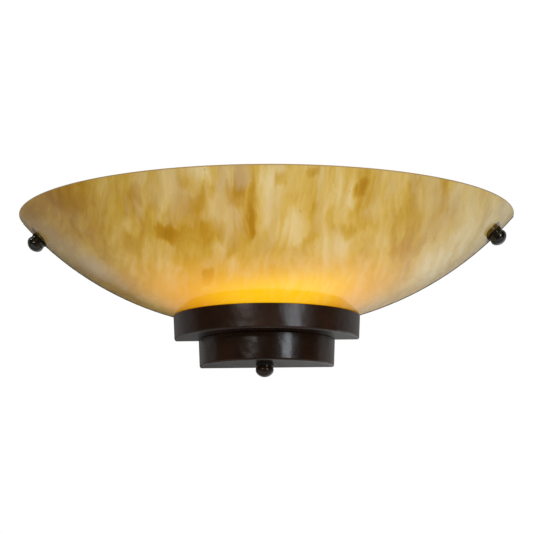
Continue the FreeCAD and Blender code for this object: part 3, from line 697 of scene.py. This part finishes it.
# soft lamps: bearing and height in degrees, as seen from the light
lamps = {
    "keyLamp": {
        "bearing": 37.2, "height": 11, "distance": 2.4, "size": (0.55, 1.2), "power": 15.5,
        "tint": (0.84, 0.92, 1.0),
    },
    "fillLamp": {
        "bearing": -22, "height": 11.0, "distance": 2.4, "size": (0.8, 0.3), "power": 6.0,
        "tint": (1.0, 0.98, 0.96),
    },
    "sideLamp": {
        "bearing": -75, "height": 48, "distance": 2.4, "size": (0.3, 0.3), "power": 5.0,
        "tint": (1.0, 1.0, 1.0),
    },
}


def addWorld():
    world = bpy.data.worlds.new("studio")
    bpy.context.scene.world = world
    graph = Graph(world, "World")
    across, towards, upwards = graph.parts(graph.node("TexCoord", output="Generated"))
    # low down: the floor past the light, paler to the right, and the darker floor at the camera's side
    floor = graph.eased(across, *studio["floorSpan"]) * graph.eased(towards, *studio["floorReach"])
    below = graph.eased(towards, *studio["belowSpan"]) * graph.eased(towards, *studio["belowReach"])
    # higher up: the wall, dimmer straight behind the light and brighter low on the right
    wall = graph.eased(across, *studio["wallSpan"])
    wall = wall * graph.eased(towards - across * studio["wallTilt"], *studio["wallReach"])
    behind = graph.eased(across, *studio["behindSpan"])
    wall = wall * graph.eased(towards, *studio["behindReach"], behind, 1.0)
    under = graph.eased(upwards, *studio["underReach"])
    wall = wall * (under * (graph.eased(across, *studio["underSpan"]) - 1.0) + 1.0)
    low = graph.eased(upwards, *studio["lowReach"])
    mirrored = (floor + below) * low + wall * (1.0 - low) + studio["dark"]
    path = graph.node("LightPath", output="Is Camera Ray")
    glossy = graph.node("LightPath", output="Is Glossy Ray")
    through = graph.node("LightPath", output="Is Transmission Ray")
    shown = path + through + glossy * mirrored
    ambient = (1.0 - path) * (1.0 - glossy) * (1.0 - through) * studio["ambient"]
    background = graph.node("Background", values={"Color": (1, 1, 1, 1), "Strength": shown + ambient})
    graph.tree.links.new(background.socket, graph.output.inputs[0])


def addLamps():
    for name, lamp in lamps.items():
        data = bpy.data.lights.new(name, "AREA")
        data.shape = "RECTANGLE"
        data.size, data.size_y = lamp["size"]
        data.energy, data.color = lamp["power"], lamp["tint"]
        bearing, height = math.radians(lamp["bearing"]), math.radians(lamp["height"])
        way = Vector((math.sin(bearing) * math.cos(height), -math.cos(bearing) * math.cos(height), math.sin(height)))
        made = bpy.data.objects.new(name, data)
        made.location = way * lamp["distance"]
        made.rotation_euler = way.to_track_quat("Z", "Y").to_euler()
        bpy.context.scene.collection.objects.link(made)


def addFloor():
    shape = bmesh.new()
    bmesh.ops.create_grid(shape, x_segments=1, y_segments=1, size=floorLook["size"])
    bmesh.ops.translate(shape, verts=shape.verts, vec=(0, 0, floorLook["height"]))
    mesh = bpy.data.meshes.new("floor")
    shape.to_mesh(mesh)
    shape.free()
    floor = bpy.data.objects.new("floor", mesh)
    bpy.context.scene.collection.objects.link(floor)
    floor.visible_glossy = False
    material, graph = newMaterial("paleFloor")
    colour = graph.mixed(graph.noise(graph.place(), floorLook["grain"]), *floorLook["tones"])
    matt = graph.node("BsdfPrincipled", values={"Base Color": colour, "Roughness": floorLook["roughness"]})
    white = graph.node("Emission", values={"Color": (1, 1, 1, 1), "Strength": 1.0})
    x, y = graph.parts(graph.place())[:2]
    share = graph.eased((x * x + y * y) ** 0.5, *floorLook["whiteSpan"])
    seen = graph.node("LightPath", output="Is Camera Ray")
    paled = graph.node("MixShader", values={0: share * seen, 1: matt, 2: white})
    beneath = graph.node("NewGeometry", output="Backfacing")  # a view from below the floor looks through it
    clear = graph.node("BsdfTransparent")
    both = graph.node("MixShader", values={0: beneath, 1: paled, 2: clear})
    graph.tree.links.new(both.socket, graph.output.inputs[0])
    mesh.materials.append(material)


paintNodes()
threadedRod()
sideStuds()
bulbBase()
wireConnectors()
print("finer pieces ready")
addWorld()
addLamps()
addFloor()
addCamera()
bpy.context.scene.view_settings.view_transform = "Standard"
print("studio ready")
